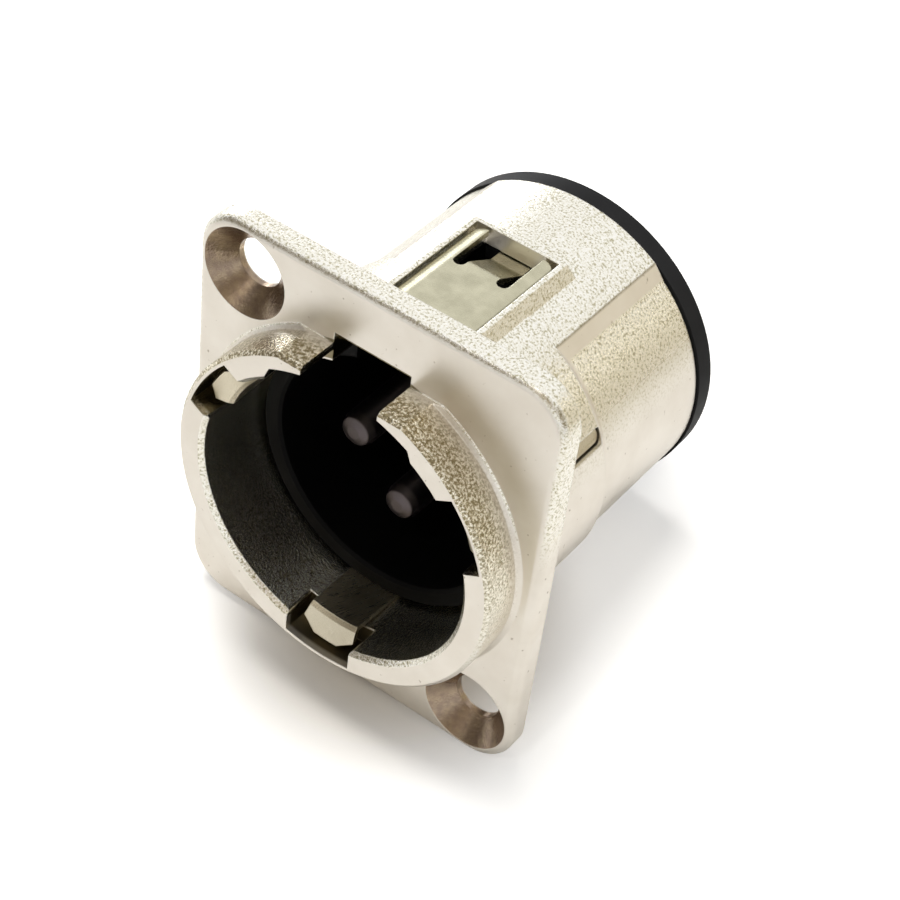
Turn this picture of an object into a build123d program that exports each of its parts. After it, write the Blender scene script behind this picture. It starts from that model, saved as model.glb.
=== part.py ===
from build123d import *
import math
import os

os.makedirs("parts", exist_ok=True)

# Panel-mounting three-pole male connector, millimetres.
# X runs to the right and Z up as seen from the front, Y runs back into the panel.
# The origin is on the socket's axis in the plane where the flange meets the panel.

# Flange
flange_width = 26.0
flange_height = 31.0
flange_thickness = 1.9
flange_corner = 3.0
flange_front_edge = 0.6
flange_rear_edge = 0.3
screw_margin = 3.5
screw_hole_radius = 1.6
countersink_radius = 3.03
countersink_angle = 90

# Socket bore and the collar in front of the flange
bore_radius = 9.8
bore_mouth = 0.3
collar_wall = 1.9
collar_height = 3.0
collar_edge = 0.25
collar_root = 0.3
collar_flat_depth = 0.9
relief_start_angle = 56
relief_full_angle = 62
relief_depth = 0.8

# Latch slot through the collar and along the top of the bore, its heights above the bore
latch_slot_width = 5.5
latch_mouth_height = 1.5
latch_mouth_wall = 0.6
latch_mouth_chamfer = 0.25
channel_height = 0.3
channel_overrun = 1.2

# Pockets round the collar, one for each finger of the earth spring
pocket_angles = (30, 150, 270)
pocket_width = 4.95
pocket_wall = 0.45
pocket_depth = 2.5
pocket_mouth_round = 0.3

# Barrel behind the flange
barrel_length = 19.2
barrel_front_wall = 1.3
barrel_rear_wall = 0.95
barrel_step = 8.1
barrel_step_run = 0.5
barrel_edge = 0.15
crown_rise = 0.3
crown_half_width = 6.05
crown_slope = 0.9
crown_root = 1.0

# Window in the flat pad on top of the barrel
window_front = 1.0
window_length = 11.35
window_width = 6.1
pad_height = 1.6
pad_side = 0.35
pad_margin = 0.3
pad_depth = 1.2
pad_taper = 25
ledge_width = 0.75

# Side slots that show the earth spring
slot_angle = 25.3
slot_height = 1.25
slot_front = 4.4
slot_length = 4.1

# Plastic insert
sleeve_front = 0.7
sleeve_wall = 1.15
sleeve_lip = 0.2
sleeve_gap = 0.15
spring_seat_gap = 0.4
socket_floor = 12.6
keyway_clearance = 0.15
insert_flange_overhang = 0.15
insert_flange_thickness = 1.6
insert_flange_edge = 0.2
insert_hub_radius = 7.2
insert_rear_recess = 1.0

# Contacts
contact_circle = 3.81
contact_angles = (0, 180, 270)
pin_radius = 1.2
pin_tip_setback = 2.4
pin_tip_flat = 0.45
pin_tip_slope = 0.2
shank_radius = 1.45
shank_gap = 0.03
boss_wall = 0.8
cup_length = 4.0
cup_wall = 0.5
cup_depth = 3.2
cup_scoop = 2.2

# Earth spring
spring_thickness = 0.3
spring_gap = 0.05
band_split_margin = 0.5
lug_gap = 0.12
lug_setback = 0.45
finger_side_gap = 0.625
finger_crest_inset = 0.1
finger_crest_setback = 1.75
finger_bend = 0.25
finger_tip_setback = 0.85
finger_tip_gap = 0.4
finger_clip_width = 1.2
finger_clip_height = 0.6
tail_width = 2.2
tail_length = 3.8
tail_eye_radius = 0.65
tail_eye_setback = 1.3

# Latch plate
plate_thickness = 0.45
plate_bend = 0.5
plate_recess = 0.1
plate_gap = 0.16
plate_fold_width = 0.8
plate_fold_drop = 0.2
plate_corner = 0.6
arm_width = 0.86
tongue_width = 2.33
tongue_reach = 3.55
tongue_root = 0.8
tongue_run = 2.55
tongue_roof_gap = 0.1
tongue_end_gap = 0.5
relief_slot_depth = 0.6

# Radii and ends of the shell
screw_offset_x = flange_width / 2 - screw_margin
screw_offset_z = flange_height / 2 - screw_margin
collar_front = -(flange_thickness + collar_height)
collar_radius = bore_radius + collar_wall
collar_flat = collar_radius - collar_flat_depth
relief_radius = bore_radius + relief_depth
pocket_radius = collar_radius - pocket_wall
barrel_front_radius = bore_radius + barrel_front_wall
barrel_rear_radius = bore_radius + barrel_rear_wall
crown_radius = barrel_rear_radius + crown_rise

# Levels and ends of the latch slot and the window
latch_mouth_top = bore_radius + latch_mouth_height
channel_roof = bore_radius + channel_height
pad_top = bore_radius + pad_height
window_rear = window_front + window_length
channel_rear = window_rear + channel_overrun
plate_top = pad_top - plate_recess
plate_floor = plate_top - plate_thickness - plate_fold_drop
tongue_bend_line = window_rear - tongue_reach

# Radii and ends of the spring and the sleeve that carries it
slot_rear = slot_front + slot_length
spring_outer = bore_radius - spring_gap
spring_middle = spring_outer - spring_thickness / 2
spring_inner = spring_outer - spring_thickness
seat_radius = spring_inner - spring_gap
sleeve_radius = bore_radius - sleeve_gap
sleeve_bore = seat_radius - sleeve_wall
insert_rear = barrel_length + insert_flange_thickness
insert_flange_radius = barrel_rear_radius + insert_flange_overhang
keyway_width = latch_slot_width + 2 * keyway_clearance
keyway_floor = math.sqrt(sleeve_bore ** 2 - (keyway_width / 2) ** 2) - keyway_clearance
slot_angles = (slot_angle, 180 - slot_angle, pocket_angles[-1])
finger_half = math.degrees((pocket_width / 2 - finger_side_gap) / spring_outer)
finger_crest = collar_front + finger_crest_setback
finger_crest_radius = spring_inner - finger_crest_inset
finger_tip_radius = pocket_radius - finger_tip_gap
tail_half = math.degrees(tail_width / 2 / spring_outer)
tail_bed = seat_radius * math.cos(math.radians(tail_half))

contact_centres = [(contact_circle * math.cos(math.radians(a)),
                    contact_circle * math.sin(math.radians(a))) for a in contact_angles]


def facing_front(y):
    """A plane across the axis at depth y, seen from the front, X right and Z up."""
    return Plane.XZ.offset(-y)


def through_axis(angle):
    """A plane through the axis: its x runs outwards at the angle, its y runs back."""
    a = math.radians(angle)
    return Plane(origin=(0, 0, 0), x_dir=(math.cos(a), 0, math.sin(a)),
                 z_dir=(-math.sin(a), 0, math.cos(a)))


def outwards(angle, radius):
    """A plane across a radius: its x runs back along the axis, its z runs outwards."""
    a = math.radians(angle)
    return Plane(origin=(radius * math.cos(a), 0, radius * math.sin(a)),
                 x_dir=(0, 1, 0), z_dir=(math.cos(a), 0, math.sin(a)))


def polar(radius, angle):
    """A point of a front view, at a radius and an angle from X."""
    a = math.radians(angle)
    return (radius * math.cos(a), radius * math.sin(a))


# Die-cast shell: flange, collar and barrel in one casting
with BuildPart() as shell:
    with BuildSketch(facing_front(0)):
        RectangleRounded(flange_width, flange_height, flange_corner)
    extrude(amount=flange_thickness)
    fillet(shell.faces().sort_by(Axis.Y)[0].edges(), flange_front_edge)
    chamfer(shell.faces().sort_by(Axis.Y)[-1].edges(), flange_rear_edge)

    # Collar and barrel, turned about the axis
    with BuildSketch(through_axis(0)):
        with BuildLine():
            Polyline((0, collar_front), (collar_radius - collar_edge, collar_front),
                     (collar_radius, collar_front + collar_edge),
                     (collar_radius, -flange_thickness - collar_root),
                     (collar_radius + collar_root, -flange_thickness),
                     (collar_radius + collar_root, -flange_thickness / 2),
                     (barrel_front_radius, -flange_thickness / 2),
                     (barrel_front_radius, barrel_step),
                     (barrel_rear_radius, barrel_step + barrel_step_run),
                     (barrel_rear_radius, barrel_length - barrel_edge),
                     (barrel_rear_radius - barrel_edge, barrel_length),
                     (0, barrel_length), (0, collar_front))
        make_face()
    revolve(axis=Axis.Y)

    # Crown that runs back along the top of the barrel, with sloping sides
    crown_edge_height = math.sqrt(crown_radius ** 2 - crown_half_width ** 2)
    crown_foot_width = crown_half_width + crown_slope
    crown_foot_height = math.sqrt(barrel_rear_radius ** 2 - crown_foot_width ** 2)
    with BuildSketch(facing_front(barrel_step)):
        with BuildLine():
            RadiusArc((-crown_half_width, crown_edge_height),
                      (crown_half_width, crown_edge_height), crown_radius)
            Polyline((crown_half_width, crown_edge_height),
                     (crown_foot_width, crown_foot_height),
                     (crown_foot_width, crown_foot_height - crown_root),
                     (-crown_foot_width, crown_foot_height - crown_root),
                     (-crown_foot_width, crown_foot_height),
                     (-crown_half_width, crown_edge_height))
        make_face()
    extrude(amount=-(barrel_length - barrel_edge - barrel_step))

    # Flat pad round the window, with sloping sides
    with BuildSketch(Plane.XY.offset(pad_top)):
        Rectangle(window_width + 2 * pad_side, window_rear + pad_margin,
                  align=(Align.CENTER, Align.MIN))
    extrude(amount=-pad_depth, taper=-pad_taper)

    # The collar's top is trimmed flat, with a bevelled front edge
    with BuildSketch(Plane.YZ):
        with BuildLine():
            Polyline((collar_front, collar_flat - collar_edge),
                     (collar_front + collar_edge, collar_flat),
                     (-flange_thickness, collar_flat),
                     (-flange_thickness, 2 * collar_radius),
                     (collar_front, 2 * collar_radius),
                     (collar_front, collar_flat - collar_edge))
        make_face()
    extrude(amount=collar_radius, both=True, mode=Mode.SUBTRACT)

    # Socket bore with a bevelled mouth
    with BuildSketch(through_axis(0)):
        with BuildLine():
            Polyline((0, collar_front), (bore_radius + bore_mouth, collar_front),
                     (bore_radius, collar_front + bore_mouth), (bore_radius, barrel_length),
                     (0, barrel_length), (0, collar_front))
        make_face()
    revolve(axis=Axis.Y, mode=Mode.SUBTRACT)

    # Pockets for the spring fingers, rounded into the bore, with a thin wall left outside
    with BuildSketch(facing_front(collar_front)) as pockets:
        with PolarLocations(0, len(pocket_angles), start_angle=pocket_angles[0]):
            Rectangle(2 * collar_radius, pocket_width, align=(Align.MIN, Align.CENTER))
        Circle(pocket_radius, mode=Mode.INTERSECT)
        Circle(bore_radius)
        mouth_corners = [v for v in pockets.vertices()
                         if math.hypot(v.X, v.Y) < (bore_radius + pocket_radius) / 2
                         and abs(v.Y) > pocket_mouth_round]
        fillet(mouth_corners, pocket_mouth_round)
    extrude(amount=-pocket_depth, mode=Mode.SUBTRACT)

    # Shallow reliefs in the bore on both sides of the latch slot
    with BuildSketch(facing_front(collar_front)):
        with BuildLine():
            Polyline((0, 0), polar(bore_radius, relief_start_angle),
                     polar(relief_radius, relief_full_angle), (0, 2 * collar_radius),
                     polar(relief_radius, 180 - relief_full_angle),
                     polar(bore_radius, 180 - relief_start_angle), (0, 0))
        make_face()
        Circle(relief_radius, mode=Mode.INTERSECT)
    extrude(amount=-collar_height, mode=Mode.SUBTRACT)

    # Latch slot: open through the collar, tall in the flange, lower along the bore
    with BuildSketch(facing_front(collar_front)):
        Rectangle(latch_slot_width, collar_radius, align=(Align.CENTER, Align.MIN))
    extrude(amount=-collar_height, mode=Mode.SUBTRACT)
    with BuildSketch(facing_front(-flange_thickness)):
        Rectangle(latch_slot_width, latch_mouth_top, align=(Align.CENTER, Align.MIN))
    extrude(amount=-(flange_thickness - latch_mouth_wall), mode=Mode.SUBTRACT)
    with BuildSketch(facing_front(-latch_mouth_wall)):
        Rectangle(latch_slot_width, channel_roof, align=(Align.CENTER, Align.MIN))
    extrude(amount=-(latch_mouth_wall + channel_rear), mode=Mode.SUBTRACT)
    mouth_middle = (0, -flange_thickness, latch_mouth_top)
    mouth_edge = shell.edges().filter_by(Axis.X).sort_by_distance(mouth_middle)[0]
    chamfer(mouth_edge, latch_mouth_chamfer)

    # Window: a seat for the plate, and an opening under it that leaves a ledge each side
    with BuildSketch(Plane.XY.offset(plate_floor)):
        with Locations((0, window_front)):
            Rectangle(window_width, window_length, align=(Align.CENTER, Align.MIN))
    extrude(amount=pad_top - plate_floor, mode=Mode.SUBTRACT)
    with BuildSketch(Plane.XY.offset(channel_roof)):
        with Locations((0, window_front + ledge_width)):
            Rectangle(window_width - 2 * ledge_width, window_length - ledge_width,
                      align=(Align.CENTER, Align.MIN))
    extrude(amount=pad_top - channel_roof, mode=Mode.SUBTRACT)

    # Side slots, one near each finger
    for angle in slot_angles:
        with BuildSketch(outwards(angle, barrel_front_radius)):
            with Locations((slot_front + slot_length / 2, 0)):
                SlotOverall(slot_length, slot_height)
        extrude(amount=-(barrel_front_radius - spring_outer), mode=Mode.SUBTRACT)

    # Two diagonal screw holes, countersunk from the front
    with Locations(facing_front(-flange_thickness)):
        with Locations((-screw_offset_x, screw_offset_z), (screw_offset_x, -screw_offset_z)):
            CounterSinkHole(screw_hole_radius, countersink_radius, depth=flange_thickness,
                            counter_sink_angle=countersink_angle)
shell.part.label = "shell"
export_step(shell.part, "parts/shell.step")


# Plastic insert: a sleeve in the bore, the socket's floor and the flange behind the shell
with BuildPart() as insert:
    with BuildSketch(through_axis(0)):
        with BuildLine():
            Polyline((0, sleeve_front), (seat_radius, sleeve_front),
                     (seat_radius, slot_rear + spring_seat_gap),
                     (sleeve_radius, slot_rear + spring_seat_gap),
                     (sleeve_radius, barrel_length), (insert_flange_radius, barrel_length),
                     (insert_flange_radius, insert_rear - insert_flange_edge),
                     (insert_flange_radius - insert_flange_edge, insert_rear),
                     (0, insert_rear), (0, sleeve_front))
        make_face()
    revolve(axis=Axis.Y)

    # Socket with a bevelled lip
    with BuildSketch(through_axis(0)):
        with BuildLine():
            Polyline((0, sleeve_front), (sleeve_bore + sleeve_lip, sleeve_front),
                     (sleeve_bore, sleeve_front + sleeve_lip), (sleeve_bore, socket_floor),
                     (0, socket_floor), (0, sleeve_front))
        make_face()
    revolve(axis=Axis.Y, mode=Mode.SUBTRACT)

    # Latch keyway along the top of the sleeve
    with BuildSketch(facing_front(sleeve_front)):
        with Locations((0, keyway_floor)):
            Rectangle(keyway_width, sleeve_radius, align=(Align.CENTER, Align.MIN))
    extrude(amount=-(channel_rear - sleeve_front), mode=Mode.SUBTRACT)

    # Rear recess, with a boss round each contact
    with BuildSketch(facing_front(insert_rear)):
        Circle(insert_hub_radius)
        with Locations(*contact_centres):
            Circle(shank_radius + boss_wall, mode=Mode.SUBTRACT)
    extrude(amount=insert_rear_recess, mode=Mode.SUBTRACT)

    # Contact bores
    with BuildSketch(facing_front(socket_floor)):
        with Locations(*contact_centres):
            Circle(shank_radius + shank_gap)
    extrude(amount=-(insert_rear - socket_floor), mode=Mode.SUBTRACT)

    # Groove and slot for the earth tail
    with BuildSketch(facing_front(slot_rear)):
        with Locations((0, -tail_bed)):
            Rectangle(tail_width + 2 * keyway_clearance, bore_radius - tail_bed,
                      align=(Align.CENTER, Align.MAX))
    extrude(amount=-(insert_rear - slot_rear), mode=Mode.SUBTRACT)
insert.part.label = "contact_insert"
export_step(insert.part, "parts/contact_insert.step")


# Three turned contacts: a pin with a two-step taper in front, a solder cup behind
for number, (centre_x, centre_z) in enumerate(contact_centres, start=1):
    cup_end = insert_rear + cup_length
    with BuildPart() as contact:
        with BuildSketch(Plane(origin=(centre_x, 0, centre_z), x_dir=(1, 0, 0), z_dir=(0, 0, 1))):
            with BuildLine():
                Polyline((0, pin_tip_setback), (pin_tip_flat, pin_tip_setback),
                         (pin_radius - pin_tip_slope, pin_tip_setback + pin_tip_slope),
                         (pin_radius, pin_tip_setback + pin_radius - pin_tip_flat),
                         (pin_radius, socket_floor), (shank_radius, socket_floor),
                         (shank_radius, cup_end), (0, cup_end), (0, pin_tip_setback))
            make_face()
        revolve(axis=Axis((centre_x, 0, centre_z), (0, 1, 0)))
        with BuildSketch(facing_front(cup_end)):
            with Locations((centre_x, centre_z)):
                Circle(shank_radius - cup_wall)
        extrude(amount=cup_depth, mode=Mode.SUBTRACT)
        with BuildSketch(facing_front(cup_end)):
            with Locations((centre_x, centre_z)):
                Rectangle(2 * shank_radius, shank_radius, align=(Align.CENTER, Align.MIN))
        extrude(amount=cup_scoop, mode=Mode.SUBTRACT)
    contact.part.label = f"contact_{number}"
    export_step(contact.part, f"parts/contact_{number}.step")


# Earth spring: a split band round the sleeve, three flared fingers and a solder tail
with BuildPart() as spring:
    with BuildSketch(facing_front(slot_front - spring_seat_gap)):
        Circle(spring_outer)
        Circle(spring_inner, mode=Mode.SUBTRACT)
        Rectangle(keyway_width + 2 * band_split_margin, spring_outer,
                  align=(Align.CENTER, Align.MIN), mode=Mode.SUBTRACT)
    extrude(amount=-(slot_length + spring_seat_gap))
    for angle in pocket_angles:
        with BuildSketch(through_axis(angle + finger_half)):
            with BuildLine():
                Polyline((spring_inner, slot_front), (spring_inner, sleeve_front),
                         (finger_crest_radius, finger_crest),
                         (finger_crest_radius + finger_bend, finger_crest - finger_bend),
                         (finger_tip_radius, collar_front + finger_tip_setback))
                offset(amount=spring_thickness, side=Side.LEFT, kind=Kind.INTERSECTION,
                       closed=True)
            make_face()
        revolve(axis=Axis.Y, revolution_arc=2 * finger_half)

    # The fingers' tips have clipped corners
    clip_foot, tip_half = polar(finger_tip_radius, finger_half)
    clip_foot -= finger_clip_height
    clip_start = tip_half - finger_clip_width
    clip_top = finger_tip_radius + spring_thickness
    clip_side = tip_half + spring_thickness
    with BuildSketch(facing_front(collar_front)):
        with PolarLocations(0, len(pocket_angles), start_angle=pocket_angles[0]):
            for side in (1, -1):
                Polygon((finger_tip_radius, side * clip_start), (clip_top, side * clip_start),
                        (clip_top, side * clip_side), (clip_foot, side * clip_side),
                        (clip_foot, side * tip_half), align=None)
    extrude(amount=-pocket_depth, mode=Mode.SUBTRACT)

    # A hollow lug is pressed out of the band into each side slot
    for angle in slot_angles:
        lug_length = slot_length - 2 * lug_gap
        lug_height = slot_height - 2 * lug_gap
        lug_top = barrel_front_radius - lug_setback
        with BuildSketch(outwards(angle, spring_middle)):
            with Locations((slot_front + slot_length / 2, 0)):
                SlotOverall(lug_length, lug_height)
        extrude(amount=lug_top - spring_middle)
        with BuildSketch(outwards(angle, spring_inner)):
            with Locations((slot_front + slot_length / 2, 0)):
                SlotOverall(lug_length - 2 * spring_thickness, lug_height - 2 * spring_thickness)
        extrude(amount=lug_top - spring_thickness - spring_inner, mode=Mode.SUBTRACT)

    # Tail that runs back from the lowest finger and ends in an eye
    with BuildSketch(through_axis(pocket_angles[-1] + tail_half)):
        with Locations((spring_middle, slot_rear)):
            Rectangle(spring_thickness, insert_rear + tail_length - slot_rear,
                      align=(Align.CENTER, Align.MIN))
    revolve(axis=Axis.Y, revolution_arc=2 * tail_half)
    with BuildSketch(outwards(pocket_angles[-1], spring_outer)):
        with Locations((insert_rear + tail_length - tail_eye_setback, 0)):
            Circle(tail_eye_radius)
    extrude(amount=-2 * spring_thickness, mode=Mode.SUBTRACT)
spring.part.label = "earth_spring"
export_step(spring.part, "parts/earth_spring.step")


# Latch plate: a stamping with folded margins, two arms and a tongue that dips between them
with BuildPart() as plate:
    plate_half = window_width / 2 - plate_gap
    arm_inner = plate_half - arm_width
    plate_middle = plate_top - plate_thickness / 2
    with BuildSketch(facing_front(window_front + plate_gap)):
        with BuildLine():
            FilletPolyline((-plate_half, plate_middle - plate_fold_drop),
                           (plate_fold_width - plate_half, plate_middle),
                           (plate_half - plate_fold_width, plate_middle),
                           (plate_half, plate_middle - plate_fold_drop),
                           radius=plate_bend)
        trace(line_width=plate_thickness)
    extrude(amount=-(window_length - 2 * plate_gap))
    with BuildSketch(Plane.XY.offset(plate_floor)) as outline:
        with Locations((0, window_front + plate_gap)):
            Rectangle(2 * plate_half, window_length - 2 * plate_gap,
                      align=(Align.CENTER, Align.MIN))
        fillet(outline.vertices().sort_by(Axis.Y)[-2:], plate_corner)
    extrude(amount=plate_top - plate_floor, mode=Mode.INTERSECT)

    # Gap between the arms, with a relief slot each side of the tongue
    with BuildSketch(Plane.XY.offset(plate_floor)):
        with Locations((0, tongue_bend_line)):
            Rectangle(2 * arm_inner, window_rear, align=(Align.CENTER, Align.MIN))
        slot_width = arm_inner - tongue_width / 2
        with Locations((-arm_inner + slot_width / 2, tongue_bend_line),
                       (arm_inner - slot_width / 2, tongue_bend_line)):
            SlotOverall(2 * relief_slot_depth, slot_width, rotation=90)
    extrude(amount=plate_top - plate_floor, mode=Mode.SUBTRACT)

    # The tongue dips through the window and ends flat under the channel's roof
    tongue_level = channel_roof - tongue_roof_gap - plate_thickness / 2
    with BuildSketch(Plane.YZ):
        with BuildLine():
            FilletPolyline((tongue_bend_line - tongue_root, plate_middle),
                           (tongue_bend_line, plate_middle),
                           (tongue_bend_line + tongue_run, tongue_level),
                           (channel_rear - tongue_end_gap, tongue_level),
                           radius=plate_bend)
        trace(line_width=plate_thickness)
    extrude(amount=tongue_width / 2, both=True)
plate.part.label = "latch_plate"
export_step(plate.part, "parts/latch_plate.step")
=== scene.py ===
import bmesh
import bpy
import math
from mathutils import Matrix, Quaternion, Vector


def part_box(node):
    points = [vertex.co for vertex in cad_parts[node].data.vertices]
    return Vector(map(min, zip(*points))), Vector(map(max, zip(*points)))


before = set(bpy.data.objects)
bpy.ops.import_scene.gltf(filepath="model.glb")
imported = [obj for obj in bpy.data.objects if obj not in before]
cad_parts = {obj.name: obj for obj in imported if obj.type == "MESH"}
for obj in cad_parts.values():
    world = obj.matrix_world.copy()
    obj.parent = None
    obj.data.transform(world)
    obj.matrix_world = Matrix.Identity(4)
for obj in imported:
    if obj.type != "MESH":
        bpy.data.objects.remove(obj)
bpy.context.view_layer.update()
mm = 0.001
print("frame loaded:", sorted(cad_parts))


# Camera at the photograph's viewing angle
shot = {
    "place": (51.96, -77.84, 91.55),    # millimetres, in the part's frame
    "target": (2.553, 3.602, 1.861),
    "roll": 7.88,                       # degrees, the camera leans a little
    "lens": 86.68,
    "sensor": 36.0,
    "clipNear": 5,
    "clipFar": 20000,
}


def makeCamera():
    camData = bpy.data.cameras.new("camera")
    camData.lens = shot["lens"]
    camData.sensor_width = shot["sensor"]
    camData.clip_start = shot["clipNear"] * mm
    camData.clip_end = shot["clipFar"] * mm
    cam = bpy.data.objects.new("camera", camData)
    bpy.context.scene.collection.objects.link(cam)
    place = Vector(shot["place"]) * mm
    target = Vector(shot["target"]) * mm
    cam.rotation_mode = "QUATERNION"
    aim = (target - place).to_track_quat("-Z", "Y")
    cam.rotation_quaternion = aim @ Quaternion((0, 0, 1), math.radians(shot["roll"]))
    cam.location = place
    bpy.context.scene.camera = cam


makeCamera()
print("camera placed")


# Node helpers for the table, the world, the shared groups and the finishes

def nodeTools(tree):
    def add(kind, **values):
        node = tree.nodes.new(kind)
        for key, value in values.items():
            if hasattr(node, key) and key not in node.inputs:
                setattr(node, key, value)
            else:
                node.inputs[key].default_value = value
        return node

    def link(a, b):
        tree.links.new(a, b)

    return add, link


def emptyMaterial(name):
    mat = bpy.data.materials.new(name)
    mat.use_nodes = True
    mat.node_tree.nodes.clear()
    add, link = nodeTools(mat.node_tree)
    return mat, add, link


# The second value is left out where the operation takes only one
def calc(add, link, operation, a, b=0.0):
    node = add("ShaderNodeMath", operation=operation)
    for socket, value in zip(node.inputs, (a, b)):
        if isinstance(value, (int, float)):
            socket.default_value = value
        else:
            link(value, socket)
    return node.outputs[0]


def remap(add, link, source, low, high, toLow, toHigh, easing="LINEAR"):
    node = add("ShaderNodeMapRange", clamp=True, interpolation_type=easing)
    node.inputs["From Min"].default_value = low
    node.inputs["From Max"].default_value = high
    node.inputs["To Min"].default_value = toLow
    node.inputs["To Max"].default_value = toHigh
    link(source, node.inputs["Value"])
    return node.outputs["Result"]


def ramp(add, link, source, stops, colors):
    node = add("ShaderNodeValToRGB")
    line = node.color_ramp
    while len(line.elements) < len(stops):
        line.elements.new(0.5)
    for element, position, color in zip(line.elements, stops, colors):
        element.position = position
        element.color = (*color, 1)
    link(source, node.inputs[0])
    return node.outputs["Color"]


def mixColors(add, link, factor, a, b, blend="MIX"):
    node = add("ShaderNodeMix", data_type="RGBA", blend_type=blend)
    link(factor, node.inputs[0])
    for socket, value in ((node.inputs[6], a), (node.inputs[7], b)):
        if isinstance(value, tuple):
            socket.default_value = (*value, 1)
        else:
            link(value, socket)
    return node.outputs[2]


# A colour made darker by another one where the mask says so
def tint(add, link, factor, color, shade):
    return mixColors(add, link, factor, color, shade, "MULTIPLY")


# The table: the part lies on its flange's lower edge and on the rim behind the barrel
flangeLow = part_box("shell")[0].z
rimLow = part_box("contact_insert")[0].z
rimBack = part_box("contact_insert")[1].y
tableSlope = math.atan2(rimLow - flangeLow, rimBack)

stageSet = {
    "floorSize": 6.0,                   # metres from its middle to its edges
    "floorDrop": 0.02,                  # millimetres that it lies under the part
    "floorWhite": (0.93, 0.925, 0.915),
    "floorPaintedShadow": (0.80, 0.75, 0.67),    # painted shadow: warmer and darker where the metal stands on it
    "glowNear": 0.0,                    # what the camera sees on top of the lit floor; it grows outwards from the part, so the floor keeps a painted shade round the part
    "glowFar": 0.4,
    "glowStart": 15.5,                  # millimetres from the part's middle
    "glowFull": 20.5,
    "horizonStart": 90,                 # far off, the floor turns as white as the world
    "horizonFull": 600,
    "horizonGlow": 0.9,
    "glowInMetal": 0.1,                 # the share of the glow that reflections see
    "worldWhite": 1.0,
    "worldFill": 0.24,
}


def newObject(name, bm):
    mesh = bpy.data.meshes.new(name)
    bm.to_mesh(mesh)
    bm.free()
    obj = bpy.data.objects.new(name, mesh)
    bpy.context.scene.collection.objects.link(obj)
    return obj


# One for camera rays, and a share of it for glossy and transmission rays, so that metal shows it too
def seenDirectly(add, link, inMetal=1.0):
    paths = add("ShaderNodeLightPath")
    mirrored = calc(add, link, "MAXIMUM", paths.outputs["Is Glossy Ray"],
                    paths.outputs["Is Transmission Ray"])
    share = calc(add, link, "MULTIPLY", mirrored, inMetal)
    return calc(add, link, "MAXIMUM", paths.outputs["Is Camera Ray"], share)


def makeFloor():
    s = stageSet
    bm = bmesh.new()
    bmesh.ops.create_grid(bm, x_segments=1, y_segments=1, size=s["floorSize"])
    bmesh.ops.rotate(bm, verts=bm.verts, cent=(0, 0, 0),
                     matrix=Matrix.Rotation(tableSlope, 3, "X"))
    bmesh.ops.translate(bm, verts=bm.verts, vec=(0, 0, flangeLow - s["floorDrop"] * mm))
    floor = newObject("floor", bm)
    mat, add, link = emptyMaterial("tablePaper")
    side = add("ShaderNodeNewGeometry")
    away = add("ShaderNodeVectorMath", operation="LENGTH")
    link(side.outputs["Position"], away.inputs[0])

    def outwards(start, full, low, high, easing="SMOOTHSTEP"):
        return remap(add, link, away.outputs["Value"], s[start] * mm, s[full] * mm, low, high, easing)

    paper = add("ShaderNodeBsdfDiffuse")
    # painted shadow: the paper turns warmer and darker towards the part's foot
    outsidePaintedShadow = outwards("glowStart", "glowFull", 0, 1, "LINEAR")
    link(mixColors(add, link, outsidePaintedShadow, s["floorPaintedShadow"], s["floorWhite"]), paper.inputs["Color"])
    glow = add("ShaderNodeEmission")
    glow.inputs["Color"].default_value = (1, 1, 1, 1)
    extra = calc(add, link, "ADD", outwards("glowStart", "glowFull", s["glowNear"], s["glowFar"]),
                 outwards("horizonStart", "horizonFull", 0, s["horizonGlow"]))
    seen = seenDirectly(add, link, s["glowInMetal"])
    link(calc(add, link, "MULTIPLY", seen, extra), glow.inputs["Strength"])
    both = add("ShaderNodeAddShader")
    link(paper.outputs[0], both.inputs[0])
    link(glow.outputs[0], both.inputs[1])
    clear = add("ShaderNodeBsdfTransparent")
    mix = add("ShaderNodeMixShader")
    link(side.outputs["Backfacing"], mix.inputs[0])    # seen from below, the table is not there
    link(both.outputs[0], mix.inputs[1])
    link(clear.outputs[0], mix.inputs[2])
    out = add("ShaderNodeOutputMaterial")
    link(mix.outputs[0], out.inputs["Surface"])
    floor.data.materials.append(mat)


def makeWorld():
    world = bpy.data.worlds.new("studio")
    bpy.context.scene.world = world
    world.use_nodes = True
    world.node_tree.nodes.clear()
    add, link = nodeTools(world.node_tree)
    sky = add("ShaderNodeBackground")
    sky.inputs["Color"].default_value = (1, 1, 1, 1)
    link(remap(add, link, seenDirectly(add, link), 0, 1, stageSet["worldFill"],
               stageSet["worldWhite"]), sky.inputs["Strength"])
    out = add("ShaderNodeOutputWorld")
    link(sky.outputs[0], out.inputs["Surface"])


# The ceiling and the lamp behind light the table and the black moulding softly. The key lights
# the metal too and throws the shadow's edge. The window and the glint only show as reflections.
lampSet = {
    "ceiling": {"place": (-90, 5, 425), "size": 220, "power": 1.55, "color": (1.0, 0.985, 0.955),
                "inMetal": False, "onTable": True},
    "behind": {"place": (170, 150, 380), "size": 300, "power": 0.2, "color": (1.0, 0.98, 0.95),
               "inMetal": False, "onTable": True},
    "key": {"place": (-15, -258, 338), "size": 40, "power": 0.15, "color": (1.0, 0.98, 0.94),
            "inMetal": True, "onTable": True},
    "glint": {"place": (274, 257, 151), "size": 60, "power": 0.014, "color": (1.0, 0.99, 0.95),
              "inMetal": True, "onTable": False},
    "window": {"place": (-370, 290, 70), "size": 240, "power": 0.6, "color": (0.93, 0.95, 1.0),
               "inMetal": True, "onTable": False},
}

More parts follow.
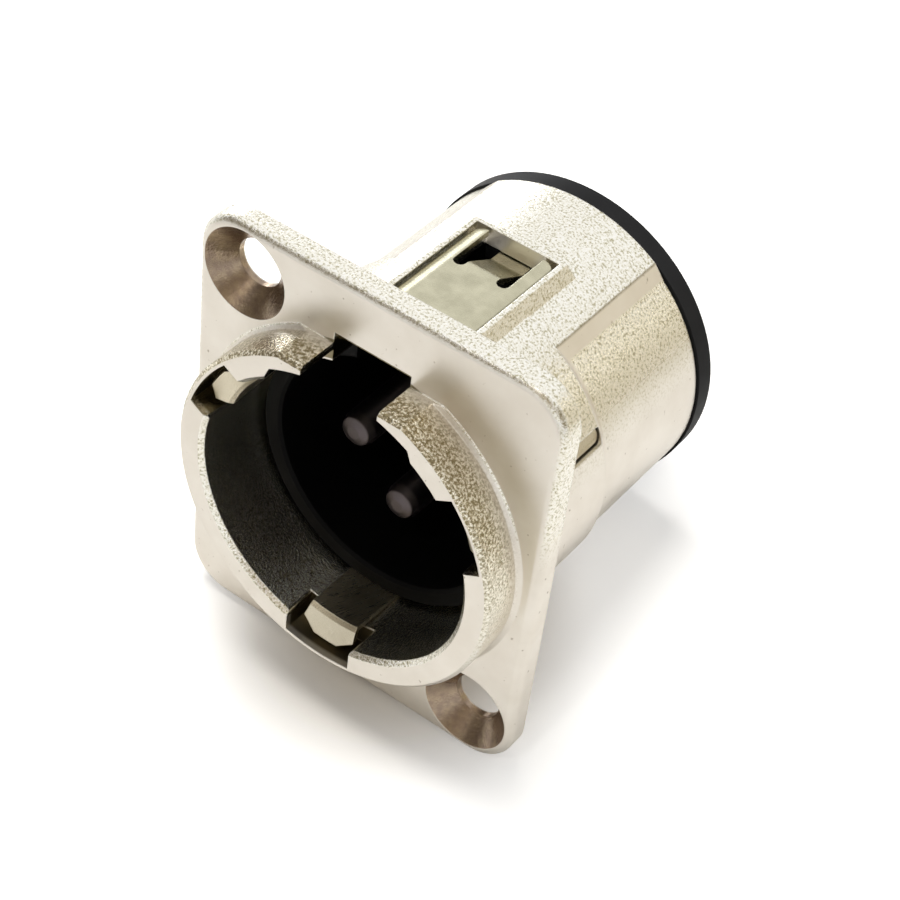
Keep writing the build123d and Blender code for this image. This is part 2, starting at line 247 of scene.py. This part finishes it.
# Cards that only show as reflections, each as bright as its shade
cardSet = {
    "cardByCamera": {"place": (70, -260, 230), "size": (340, 300), "shade": (0.400, 0.340, 0.265)},
    "cardFrontLeft": {"place": (-290, -240, 170), "size": (420, 330), "shade": (0.220, 0.190, 0.150)},
    "cardRight": {"place": (340, -60, 130), "size": (300, 260), "shade": (0.340, 0.290, 0.210)},
    "cardBehind": {"place": (290, 270, 140), "size": (260, 230), "shade": (0.680, 0.620, 0.490)},
    "cardLow": {"place": (48, 43, 4), "size": (50, 30), "shade": (0.670, 0.610, 0.480)},
}

litPlace = (0, 8, 0)    # millimetres, where the lamps and the cards point


def aimAtPart(obj):
    aim = Vector(litPlace) * mm - obj.location
    obj.rotation_mode = "QUATERNION"
    obj.rotation_quaternion = aim.to_track_quat("-Z", "Y")


def makeLamps():
    for name, s in lampSet.items():
        data = bpy.data.lights.new(name, "AREA")
        data.shape = "DISK"
        data.size = s["size"] * mm
        data.energy = s["power"]
        data.color = s["color"]
        lamp = bpy.data.objects.new(name, data)
        bpy.context.scene.collection.objects.link(lamp)
        lamp.location = Vector(s["place"]) * mm
        aimAtPart(lamp)
        lamp.visible_glossy = s["inMetal"]
        lamp.visible_diffuse = s["onTable"]


def makeCards():
    for name, s in cardSet.items():
        width, height = s["size"]
        bm = bmesh.new()
        bmesh.ops.create_grid(bm, x_segments=1, y_segments=1, size=0.5)
        bmesh.ops.scale(bm, verts=bm.verts, vec=(width * mm, height * mm, 1))
        card = newObject(name, bm)
        card.location = Vector(s["place"]) * mm
        aimAtPart(card)
        mat, add, link = emptyMaterial(name)
        glow = add("ShaderNodeEmission")
        glow.inputs["Color"].default_value = (*s["shade"], 1)
        out = add("ShaderNodeOutputMaterial")
        link(glow.outputs[0], out.inputs["Surface"])
        card.data.materials.append(mat)
        card.visible_camera = False
        card.visible_diffuse = False
        card.visible_shadow = False


makeFloor()
makeWorld()
makeLamps()
makeCards()
bpy.context.scene.view_settings.view_transform = "Standard"
print("table, lamps and cards set")


# Shared shader groups

def newGroup(name, inputs, outputs):
    group = bpy.data.node_groups.new(name, "ShaderNodeTree")
    group.interface.new_socket(name="Vector", in_out="INPUT", socket_type="NodeSocketVector")
    for label, value in inputs.items():
        socket = group.interface.new_socket(name=label, in_out="INPUT", socket_type="NodeSocketFloat")
        socket.default_value = value
    for label in outputs:
        group.interface.new_socket(name=label, in_out="OUTPUT", socket_type="NodeSocketFloat")
    add, link = nodeTools(group)
    return group, add, link, add("NodeGroupInput"), add("NodeGroupOutput")


def perMetre(add, link, spacing):
    return calc(add, link, "DIVIDE", 1 / mm, spacing)


# Cast grain: fine bumps that also make the specks, coarser pits and wide clouds
grainSet = {
    "Bumps": {"detail": 2.5, "roughness": 0.6, "scale": 1.0},
    "Pits": {"detail": 2.0, "roughness": 0.5, "scale": 0.33},
    "Clouds": {"detail": 3.0, "roughness": 0.55, "scale": 0.05},
}


def makeGrainGroup():
    group, add, link, gin, gout = newGroup("castGrain", {"GrainSize": 0.16}, grainSet)
    fine = perMetre(add, link, gin.outputs["GrainSize"])
    for label, s in grainSet.items():
        noise = add("ShaderNodeTexNoise", Detail=s["detail"], Roughness=s["roughness"])
        link(gin.outputs["Vector"], noise.inputs["Vector"])
        link(calc(add, link, "MULTIPLY", fine, s["scale"]), noise.inputs["Scale"])
        link(noise.outputs["Fac"], gout.inputs[label])
    return group


# Fine scratches: noise drawn out along one direction
scratchSet = {
    "drawnOut": 0.035,
    "detail": 3.0,
    "roughness": 0.7,
}


def makeScratchGroup():
    s = scratchSet
    group, add, link, gin, gout = newGroup("fineScratches", {"Spacing": 0.06, "Turn": 0.0}, ["Lines"])
    turn = add("ShaderNodeVectorRotate", rotation_type="Z_AXIS")
    link(gin.outputs["Vector"], turn.inputs["Vector"])
    link(gin.outputs["Turn"], turn.inputs["Angle"])
    stretch = add("ShaderNodeVectorMath", operation="MULTIPLY")
    stretch.inputs[1].default_value = (1.0, s["drawnOut"], 1.0)
    link(turn.outputs[0], stretch.inputs[0])
    lines = add("ShaderNodeTexNoise", Detail=s["detail"], Roughness=s["roughness"])
    link(stretch.outputs[0], lines.inputs["Vector"])
    link(perMetre(add, link, gin.outputs["Spacing"]), lines.inputs["Scale"])
    link(lines.outputs["Fac"], gout.inputs["Lines"])
    return group


grainGroup = makeGrainGroup()
scratchGroup = makeScratchGroup()
print("shader groups made")


# What the finishes have in common

def startMaterial(name):
    mat = bpy.data.materials.new(name)
    mat.use_nodes = True
    add, link = nodeTools(mat.node_tree)
    shader = mat.node_tree.nodes["Principled BSDF"]
    place = add("ShaderNodeTexCoord")
    return mat, add, link, shader, place


def useGroup(add, link, place, group, **values):
    node = add("ShaderNodeGroup")
    node.node_tree = group
    for label, value in values.items():
        node.inputs[label].default_value = value
    link(place.outputs["Object"], node.inputs["Vector"])
    return node


# Softened edges with a fine relief on top, for the shader's normal
def addRelief(add, link, shader, s, height):
    soft = add("ShaderNodeBevel", samples=s["edgeSamples"])
    soft.inputs["Radius"].default_value = s["edgeRadius"] * mm
    bump = add("ShaderNodeBump")
    bump.inputs["Distance"].default_value = s["bumpDepth"] * mm
    link(height, bump.inputs["Height"])
    link(soft.outputs[0], bump.inputs["Normal"])
    link(bump.outputs[0], shader.inputs["Normal"])
    return bump


# Nickel plate on the zinc casting: smooth where it faces forwards, grainy on its sides
nickelSet = {
    "satin": (0.83, 0.785, 0.71),
    "satinDull": (0.77, 0.72, 0.64),
    "satinStops": (0.35, 0.65),                     # where in the noise each colour comes
    "pit": (0.32, 0.26, 0.18),
    "pitStart": 0.70, "pitFull": 0.76, "pitShare": 0.7,
    # grain specks, the brightest of them also a painted sparkle
    "speckDark": (0.46, 0.42, 0.28),
    "speckMiddle": (0.88, 0.85, 0.74),
    "speckSparkleBright": (0.96, 0.94, 0.88),
    "speckStops": (0.34, 0.47, 0.62),
    "collarShadeDark": (0.30, 0.25, 0.14),                 # painted shade and painted sparkle on the collar's outside, darkest in front
    "collarShadeMiddle": (0.60, 0.53, 0.38),
    "collarSparkleBright": (0.97, 0.93, 0.80),
    "collarShadeStops": (0.40, 0.51, 0.60),
    # painted shade: the countersinks darker and browner than the face
    "sinkShadeBrown": (0.30, 0.225, 0.17),
    "sinkShadeGold": (0.39, 0.305, 0.215),
    "sinkStops": (0.35, 0.65),
    # painted shade along the crease beside the crown
    "creasePaintedShade": (0.45, 0.42, 0.36),
    "socketPaintedShade": (0.28, 0.25, 0.17),               # painted shade on the pockets' walls and the slot's ledge
    "roughSmooth": 0.34,
    "roughGrainy": 0.24,
    "roughSink": 0.26,
    "grainSize": 0.16,
    "bumpSmooth": 0.12,
    "bumpGrainy": 0.55,
    "sinkGrain": 0.45,                              # shares of the grainy bump, the last two on top
    "collarShadeGrain": 0.6,
    "boreGrain": 0.4,
    "bumpDepth": 0.06,
    "edgeRadius": 0.12,
    "edgeSamples": 6,
}

# Where those finishes are on the casting, in millimetres from the part's origin
castingPlaces = {
    "edgeSoft": 0.1, "edgeSharp": 0.05,             # how wide a mask's edge is
    "frontNormal": -0.96, "sideNormal": -0.8,       # no length: the normal's Y, smooth to grainy
    "bodyStart": 2.5, "bodyFull": 6.5,              # heights, from smooth to grainy
    "collarBack": -1.95, "collarRadius": 12.2,
    "collarStart": 2.0, "collarFull": 3.2,          # forwards, from smooth to grainy
    "collarLow": -7.0, "collarHigh": 1.0,
    # where the painted shade lies on the collar's outside
    "collarShadeStart": 2.0, "collarShadeFull": 3.4,
    "collarShadeLow": -3.0, "collarShadeHigh": 6.0,
    "bandInner": 6.05, "bandOuter": 6.85,           # smooth band beside the crown
    "bandLow": 0.0, "bandHigh": 1.0,
    "creaseWidth": 0.1,
    "stepFront": 8.05, "stepRear": 8.75,            # smooth band round the barrel's step
    "holeX": 9.5, "holeZ": 12.0, "sinkRadius": 3.1,
    "boreEdge": 10.3, "boreWall": 9.95,
    "socketRadius": 11.4, "socketFront": -4.55, "socketFade": 0.2,
    "collarRoot": -1.97, "pocketsBelow": 10.6,
}


def castingMasks(add, link, place):
    s = castingPlaces
    soft = s["edgeSoft"]
    sharp = s["edgeSharp"]
    inMm = add("ShaderNodeVectorMath", operation="SCALE")
    link(place.outputs["Object"], inMm.inputs[0])
    inMm.inputs["Scale"].default_value = 1 / mm
    at = add("ShaderNodeSeparateXYZ")
    link(inMm.outputs[0], at.inputs[0])
    x, y, z = at.outputs

    def fade(value, low, high):
        return remap(add, link, value, low, high, 0.0, 1.0)

    def above(value, limit, width=soft):
        return fade(value, limit, limit + width)

    def below(value, limit, width=soft):
        return remap(add, link, value, limit - width, limit, 1.0, 0.0)

    def both(a, b):
        return calc(add, link, "MULTIPLY", a, b)

    def either(a, b):
        return calc(add, link, "MAXIMUM", a, b)

    def but(a, b):
        return both(a, calc(add, link, "SUBTRACT", 1.0, b))

    def distance(a, b):
        return calc(add, link, "SQRT", calc(add, link, "ADD", both(a, a), both(b, b)))

    side = calc(add, link, "ABSOLUTE", x)
    forward = calc(add, link, "MULTIPLY", y, -1.0)
    radius = distance(x, z)
    normal = add("ShaderNodeSeparateXYZ")
    link(place.outputs["Normal"], normal.inputs[0])
    sideways = fade(normal.outputs["Y"], s["frontNormal"], s["sideNormal"])
    # the barrel and the flange's rim turn smooth towards the bottom
    body = fade(z, s["bodyStart"], s["bodyFull"])
    # the collar's outside is grainy in front and smooth at its root
    onCollar = both(below(y, s["collarBack"]), below(radius, s["collarRadius"]))
    collar = both(fade(forward, s["collarStart"], s["collarFull"]),
                  fade(z, s["collarLow"], s["collarHigh"]))
    outside = calc(add, link, "ADD", both(onCollar, collar), but(body, onCollar))
    bore = below(radius, s["boreEdge"])
    # painted shade on the collar's outside, towards the front and the top
    collarShadeFade = both(fade(forward, s["collarShadeStart"], s["collarShadeFull"]), fade(z, s["collarShadeLow"], s["collarShadeHigh"]))
    # behind the step, a smooth band runs along the crown and one round the barrel, with painted shade
    # along the crease where the crown begins
    behind = both(above(y, s["stepFront"]), fade(z, s["bandLow"], s["bandHigh"]))
    pastCrown = above(side, s["bandInner"], sharp)
    beside = both(pastCrown, below(side, s["bandOuter"]))
    roundStep = but(pastCrown, above(y, s["stepRear"]))
    bands = both(behind, either(beside, roundStep))
    inner = both(above(side, s["bandInner"] - s["creaseWidth"], s["creaseWidth"]),
                 below(side, s["bandInner"] + s["creaseWidth"], s["creaseWidth"]))
    # the countersinks are on one diagonal
    sinks = []
    for turn in (-1, 1):
        dx = calc(add, link, "ADD", x, -turn * s["holeX"])
        dz = calc(add, link, "ADD", z, turn * s["holeZ"])
        sinks.append(below(distance(dx, dz), s["sinkRadius"]))
    sunk = both(both(either(*sinks), sideways), below(y, 0.0))
    # painted shade in the socket: the pockets' walls and the ledge in the latch slot
    within = but(below(radius, s["socketRadius"]), below(radius, s["boreWall"], sharp))
    inFront = below(y, 0.0, sharp)
    ledge = both(above(y, s["collarRoot"], sharp), inFront)
    pockets = both(both(above(y, s["socketFront"], s["socketFade"]), inFront),
                   below(z, s["pocketsBelow"]))
    socket = both(within, either(ledge, pockets))
    return {
        "grainy": both(but(but(either(outside, bore), bands), sunk), sideways),
        "sunk": sunk,
        "collarPaintedShade": but(both(both(but(onCollar, bore), collarShadeFade), sideways), socket),
        "crease": both(behind, inner),
        "socket": socket,
        "bore": both(bore, sideways),
    }


def makeNickel():
    mat, add, link, shader, place = startMaterial("nickelCasting")
    s = nickelSet
    grain = useGroup(add, link, place, grainGroup, GrainSize=s["grainSize"]).outputs
    where = castingMasks(add, link, place)
    satin = ramp(add, link, grain["Clouds"], s["satinStops"], (s["satinDull"], s["satin"]))
    pits = remap(add, link, grain["Pits"], s["pitStart"], s["pitFull"], 0.0, s["pitShare"])
    # grain specks in the colour, partly painted sparkle
    specksAndSparkle = ramp(add, link, grain["Bumps"], s["speckStops"],
                  (s["speckDark"], s["speckMiddle"], s["speckSparkleBright"]))
    # painted shade and painted sparkle on the collar's outside
    collarShadeFlecks = ramp(add, link, grain["Bumps"], s["collarShadeStops"],
                  (s["collarShadeDark"], s["collarShadeMiddle"], s["collarSparkleBright"]))
    # painted shade in the countersinks
    sink = ramp(add, link, grain["Pits"], s["sinkStops"], (s["sinkShadeBrown"], s["sinkShadeGold"]))
    color = mixColors(add, link, pits, satin, s["pit"])
    color = mixColors(add, link, where["grainy"], color, specksAndSparkle)
    color = mixColors(add, link, where["collarPaintedShade"], color, collarShadeFlecks)
    # painted shade in the crease
    color = tint(add, link, where["crease"], color, s["creasePaintedShade"])
    # painted shade in the socket
    color = tint(add, link, where["socket"], color, s["socketPaintedShade"])
    link(mixColors(add, link, where["sunk"], color, sink), shader.inputs["Base Color"])
    shader.inputs["Metallic"].default_value = 1.0
    cast = remap(add, link, where["grainy"], 0, 1, s["roughSmooth"], s["roughGrainy"])
    inSink = remap(add, link, where["sunk"], 0, 1, 0.0, s["roughSink"] - s["roughSmooth"])
    link(calc(add, link, "ADD", cast, inSink), shader.inputs["Roughness"])
    rough = calc(add, link, "MAXIMUM", where["grainy"],
                 calc(add, link, "MULTIPLY", where["sunk"], s["sinkGrain"]))
    for mask, share in (("collarPaintedShade", s["collarShadeGrain"]), ("bore", s["boreGrain"])):
        rough = calc(add, link, "ADD", rough, calc(add, link, "MULTIPLY", where[mask], share))
    more = calc(add, link, "MULTIPLY", rough, s["bumpGrainy"] - s["bumpSmooth"])
    bump = addRelief(add, link, shader, s, grain["Bumps"])
    link(calc(add, link, "ADD", s["bumpSmooth"], more), bump.inputs["Strength"])
    return mat


# From zero at the start to one at the end, along the part's axis
def backwards(add, link, place, start, end):
    at = add("ShaderNodeSeparateXYZ")
    link(place.outputs["Object"], at.inputs[0])
    return remap(add, link, at.outputs["Y"], start * mm, end * mm, 0, 1)


# Black moulding: uneven in tone and gloss, with a fine moulded texture, painted darker in the socket
# as painted shade
blackSet = {
    # painted shade: deeper black inside the socket than on the ring outside
    "paintedShadeInside": (0.0022, 0.0022, 0.0023),
    "outside": (0.020, 0.020, 0.021),
    "insideTo": 12.0, "outsideFrom": 16.0,
    "cloudShade": (0.65, 0.65, 0.65),   # how dark the clouds make it
    "cloudStart": 0.3, "cloudFull": 0.7,
    "roughFrom": 0.44, "roughTo": 0.58,
    "specular": 0.08,
    "grainSize": 0.3,
    "bump": 0.15,
    "bumpDepth": 0.02,
    "edgeRadius": 0.1,
    "edgeSamples": 4,
}


def makeBlack():
    mat, add, link, shader, place = startMaterial("blackMoulding")
    s = blackSet
    grain = useGroup(add, link, place, grainGroup, GrainSize=s["grainSize"]).outputs

    def byClouds(low, high):
        return remap(add, link, grain["Clouds"], s["cloudStart"], s["cloudFull"], low, high)

    plain = mixColors(add, link, backwards(add, link, place, s["insideTo"], s["outsideFrom"]),
                      s["paintedShadeInside"], s["outside"])
    link(tint(add, link, byClouds(0, 1), plain, s["cloudShade"]), shader.inputs["Base Color"])
    link(byClouds(s["roughFrom"], s["roughTo"]), shader.inputs["Roughness"])
    shader.inputs["Specular IOR Level"].default_value = s["specular"]
    bump = addRelief(add, link, shader, s, grain["Bumps"])
    bump.inputs["Strength"].default_value = s["bump"]
    return mat


# Rolled and stamped metal: the earth spring, the latch plate and the pins
springSet = {
    "name": "stampedSpring",
    "bright": (0.70, 0.64, 0.50),
    "dull": (0.58, 0.52, 0.39),
    "blotch": 0.1,
    "roughFrom": 0.25, "roughTo": 0.40,
    "spacing": 0.05, "turn": 0.4,       # of the scratches
    "bump": 0.1, "bumpDepth": 0.01,
    "edgeRadius": 0.08, "edgeSamples": 4,
}
plateSet = {
    "name": "rolledPlate",
    "bright": (0.65, 0.62, 0.46),
    "dull": (0.50, 0.475, 0.345),
    "blotch": 0.06,
    "wallPaintedShadow": (0.16, 0.15, 0.11), "borderWidth": 0.13,
    "roughFrom": 0.22, "roughTo": 0.37,
    "spacing": 0.05, "turn": 1.3,
    "bump": 0.12, "bumpDepth": 0.01,
    "edgeRadius": 0.1, "edgeSamples": 4,
}
pinSet = {
    "name": "platedPins",
    "bright": (0.78, 0.76, 0.72),
    "dull": (0.64, 0.62, 0.58),
    "blotch": 0.16,
    "pinPaintedShade": (0.16, 0.14, 0.15),     # painted shade: a pin's front end stands in the dark socket
    "insideTo": 14.0, "outsideFrom": 18.0,
    "roughFrom": 0.35, "roughTo": 0.50,
    "spacing": 0.08, "turn": 0.0,
    "bump": 0.06, "bumpDepth": 0.008,
    "edgeRadius": 0.2, "edgeSamples": 4,
}
rolledStops = {
    "blotches": (0.3, 0.7),             # where in the noise each colour comes
    "lineStart": 0.35, "lineFull": 0.7,
}


# The latch plate's outer edges, with painted shadow where they meet the window's walls
def borderMask(add, link, place, width):
    low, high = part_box("latch_plate")
    at = add("ShaderNodeSeparateXYZ")
    link(place.outputs["Object"], at.inputs[0])
    side = calc(add, link, "ABSOLUTE", at.outputs["X"])
    atSide = remap(add, link, side, high.x - width * mm, high.x, 0, 1)
    atFront = remap(add, link, at.outputs["Y"], low.y, low.y + width * mm, 1, 0)
    return calc(add, link, "MAXIMUM", atSide, atFront)


def makeRolled(s):
    mat, add, link, shader, place = startMaterial(s["name"])
    scratches = useGroup(add, link, place, scratchGroup, Spacing=s["spacing"], Turn=s["turn"])
    lines = scratches.outputs["Lines"]
    grain = useGroup(add, link, place, grainGroup, GrainSize=s["blotch"]).outputs
    color = ramp(add, link, grain["Clouds"], rolledStops["blotches"], (s["dull"], s["bright"]))
    # painted shadow of the window's walls along the plate's edges
    if "wallPaintedShadow" in s:
        color = tint(add, link, borderMask(add, link, place, s["borderWidth"]), color, s["wallPaintedShadow"])
    # painted shade on the pins' front ends in the socket
    if "pinPaintedShade" in s:
        rear = backwards(add, link, place, s["insideTo"], s["outsideFrom"])
        color = tint(add, link, calc(add, link, "SUBTRACT", 1.0, rear), color, s["pinPaintedShade"])
    link(color, shader.inputs["Base Color"])
    shader.inputs["Metallic"].default_value = 1.0
    link(remap(add, link, lines, rolledStops["lineStart"], rolledStops["lineFull"],
               s["roughFrom"], s["roughTo"]), shader.inputs["Roughness"])
    bump = addRelief(add, link, shader, s, lines)
    bump.inputs["Strength"].default_value = s["bump"]
    return mat


def dress(nodeName, mat):
    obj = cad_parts[nodeName]
    obj.data.materials.clear()
    obj.data.materials.append(mat)


pinMat = makeRolled(pinSet)
dress("shell", makeNickel())
dress("contact_insert", makeBlack())
dress("earth_spring", makeRolled(springSet))
dress("latch_plate", makeRolled(plateSet))
for number in (1, 2, 3):
    dress("contact_%d" % number, pinMat)
print("finishes made")
